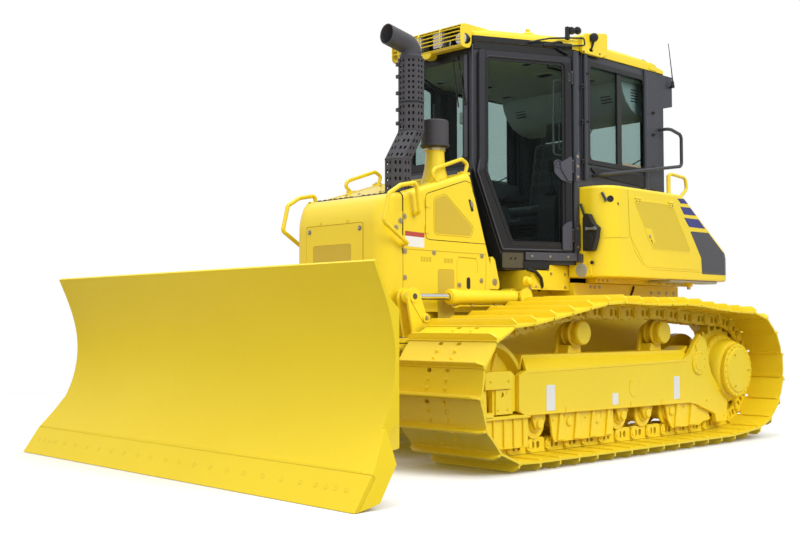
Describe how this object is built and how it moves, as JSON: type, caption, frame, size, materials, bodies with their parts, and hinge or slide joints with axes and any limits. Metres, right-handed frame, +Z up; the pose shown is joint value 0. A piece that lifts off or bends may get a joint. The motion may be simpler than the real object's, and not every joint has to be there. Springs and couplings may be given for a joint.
{
  "type": "crawler bulldozer",
  "caption": "Crawler dozer with wide tracks, glazed cab, straight blade that lifts, angles and tilts on a push frame, hinged cab, engine and tank doors.",
  "frame": {"origin": "middle of the overall footprint, on the ground under the tracks", "axes": "+X to the machine's left, -Y forward towards the blade, +Z up"},
  "size_m": [3.35, 4.7501, 3.0806],
  "materials": {
    "body_paint": "gloss",
    "frame_paint": "semi gloss",
    "cab_paint": "satin",
    "cab_glass": "clear",
    "rod_chrome": "polished",
    "cast_metal": "rough",
    "seat_fabric": "matt",
    "trim_plastic": "matt"
  },
  "bodies": {
    "chassis": {"main_frame": "frame_paint", "engine_block": "cast_metal", "drawbar": "frame_paint", "front_mask": "body_paint", "hood": "body_paint", "exhaust_stack": "cab_paint", "air_precleaner": "body_paint", "handrail_front_left": "body_paint", "handrail_front_right": "body_paint", "cab_frame": "cab_paint", "cab_floor": "trim_plastic", "cab_roof": "body_paint", "light_guard": "body_paint", "windscreen": "cab_glass", "rear_window": "cab_glass", "side_window_left": "cab_glass", "side_window_right": "cab_glass", "seat": "seat_fabric", "console_left": "trim_plastic", "console_right": "trim_plastic", "dash": "trim_plastic", "tank_left": "body_paint", "tank_right": "body_paint", "tank_rail_left": "body_paint", "tank_rail_right": "body_paint", "cab_rail_left": "cab_paint", "cab_rail_right": "cab_paint", "rear_body": "body_paint", "antenna": "trim_plastic", "track_left": "frame_paint", "track_right": "frame_paint", "track_frame_left": "frame_paint", "track_frame_right": "frame_paint", "idler_left": "frame_paint", "idler_right": "frame_paint", "final_drive_left": "frame_paint", "final_drive_right": "frame_paint"},
    "push_frame": {"push_frame": "frame_paint"},
    "blade_yoke": {"blade_yoke": "frame_paint"},
    "blade": {"moldboard": "body_paint", "cutting_edge": "frame_paint"},
    "lift_barrel_left": {"lift_barrel_left": "frame_paint"},
    "lift_barrel_right": {"lift_barrel_right": "frame_paint"},
    "lift_rod_left": {"lift_rod_left": "rod_chrome"},
    "lift_rod_right": {"lift_rod_right": "rod_chrome"},
    "angle_barrel_left": {"angle_barrel_left": "frame_paint"},
    "angle_barrel_right": {"angle_barrel_right": "frame_paint"},
    "angle_rod_left": {"angle_rod_left": "rod_chrome"},
    "angle_rod_right": {"angle_rod_right": "rod_chrome"},
    "tilt_barrel": {"tilt_barrel": "frame_paint"},
    "tilt_rod": {"tilt_rod": "rod_chrome"},
    "cab_door_left": {"cab_door_left": "cab_paint", "door_glass_left": "cab_glass"},
    "cab_door_right": {"cab_door_right": "cab_paint", "door_glass_right": "cab_glass"},
    "engine_door_left": {"engine_door_left": "body_paint"},
    "engine_door_right": {"engine_door_right": "body_paint"},
    "tank_door_left": {"tank_door_left": "body_paint"},
    "tank_door_right": {"tank_door_right": "body_paint"},
    "rear_grille": {"rear_grille": "cab_paint"}
  },
  "joints": [
    {"name": "blade_lift", "type": "hinge", "parent": "chassis", "child": "push_frame", "pos_m": [0, 0.293, 0.42], "axis": [-1, 0, 0], "range_deg": [-11, 23.5]},
    {"name": "blade_angle", "type": "hinge", "parent": "push_frame", "child": "blade_yoke", "pos_m": [0, -1.777, 0.42], "axis": [0, 0, 1], "range_deg": [-25, 25]},
    {"name": "blade_tilt", "type": "hinge", "parent": "blade_yoke", "child": "blade", "pos_m": [0, -2.007, 0.43], "axis": [0, -1, 0], "range_deg": [-8, 8]},
    {"name": "lift_cylinder_swing_left", "type": "hinge", "parent": "chassis", "child": "lift_barrel_left", "pos_m": [0.55, 0.13, 1.039], "axis": [-1, 0, 0], "range_deg": [-14.05, 29.45]},
    {"name": "lift_cylinder_rod_left", "type": "slide", "parent": "lift_barrel_left", "child": "lift_rod_left", "axis": [0, -0.9999, -0.0113], "range_m": [-0.238, 0.113]},
    {"name": "lift_cylinder_swing_right", "type": "hinge", "parent": "chassis", "child": "lift_barrel_right", "pos_m": [-0.55, 0.13, 1.039], "axis": [-1, 0, 0], "range_deg": [-14.05, 29.45]},
    {"name": "lift_cylinder_rod_right", "type": "slide", "parent": "lift_barrel_right", "child": "lift_rod_right", "axis": [0, -0.9999, -0.0113], "range_m": [-0.238, 0.113]},
    {"name": "angle_cylinder_swing_left", "type": "hinge", "parent": "push_frame", "child": "angle_barrel_left", "pos_m": [0.55, -0.982, 0.7], "axis": [0, 0, 1], "range_deg": [-0.95, 0.95]},
    {"name": "angle_cylinder_rod_left", "type": "slide", "parent": "angle_barrel_left", "child": "angle_rod_left", "axis": [-0.0932, -0.9957, 0], "range_m": [-0.204, 0.204]},
    {"name": "angle_cylinder_swing_right", "type": "hinge", "parent": "push_frame", "child": "angle_barrel_right", "pos_m": [-0.55, -0.982, 0.7], "axis": [0, 0, 1], "range_deg": [-0.95, 0.95]},
    {"name": "angle_cylinder_rod_right", "type": "slide", "parent": "angle_barrel_right", "child": "angle_rod_right", "axis": [0.0932, -0.9957, 0], "range_m": [-0.204, 0.204]},
    {"name": "tilt_cylinder_swing", "type": "hinge", "parent": "blade_yoke", "child": "tilt_barrel", "pos_m": [-0.36, -1.917, 0.93], "axis": [0, -1, 0], "range_deg": [-4.8, 4.8]},
    {"name": "tilt_cylinder_rod", "type": "slide", "parent": "tilt_barrel", "child": "tilt_rod", "axis": [1, 0, 0], "range_m": [-0.073, 0.073]},
    {"name": "cab_door_left", "type": "hinge", "parent": "chassis", "child": "cab_door_left", "pos_m": [0.69433, 0.55724, 1.3], "axis": [0, 0, 1], "range_deg": [0, 100]},
    {"name": "engine_door_left", "type": "hinge", "parent": "chassis", "child": "engine_door_left", "pos_m": [0.4685, -0.6925, 1.4], "axis": [0, 0, -1], "range_deg": [0, 105]},
    {"name": "tank_door_left", "type": "hinge", "parent": "chassis", "child": "tank_door_left", "pos_m": [0.957, 1.243, 1.7575], "axis": [0, -1, 0], "range_deg": [0, 85]},
    {"name": "cab_door_right", "type": "hinge", "parent": "chassis", "child": "cab_door_right", "pos_m": [-0.69433, 0.55724, 1.3], "axis": [0, 0, -1], "range_deg": [0, 100]},
    {"name": "engine_door_right", "type": "hinge", "parent": "chassis", "child": "engine_door_right", "pos_m": [-0.4685, -0.6925, 1.4], "axis": [0, 0, 1], "range_deg": [0, 105]},
    {"name": "tank_door_right", "type": "hinge", "parent": "chassis", "child": "tank_door_right", "pos_m": [-0.957, 1.243, 1.7575], "axis": [0, 1, 0], "range_deg": [0, 85]},
    {"name": "rear_grille_hinge", "type": "hinge", "parent": "chassis", "child": "rear_grille", "pos_m": [-0.55, 2.276, 1.2], "axis": [0, 0, 1], "range_deg": [0, 110]}
  ],
  "couplings": [
    {"joint": "lift_cylinder_swing_left", "follows": "blade_lift", "ratio": 1.232},
    {"joint": "lift_cylinder_rod_left", "follows": "blade_lift", "m_per_rad": -0.5738},
    {"joint": "lift_cylinder_swing_right", "follows": "blade_lift", "ratio": 1.232},
    {"joint": "lift_cylinder_rod_right", "follows": "blade_lift", "m_per_rad": -0.5738},
    {"joint": "angle_cylinder_swing_left", "follows": "blade_angle", "ratio": 0.018},
    {"joint": "angle_cylinder_rod_left", "follows": "blade_angle", "m_per_rad": -0.46},
    {"joint": "angle_cylinder_swing_right", "follows": "blade_angle", "ratio": 0.018},
    {"joint": "angle_cylinder_rod_right", "follows": "blade_angle", "m_per_rad": 0.46},
    {"joint": "tilt_cylinder_swing", "follows": "blade_tilt", "ratio": 0.526},
    {"joint": "tilt_cylinder_rod", "follows": "blade_tilt", "m_per_rad": -0.4996}
  ]
}
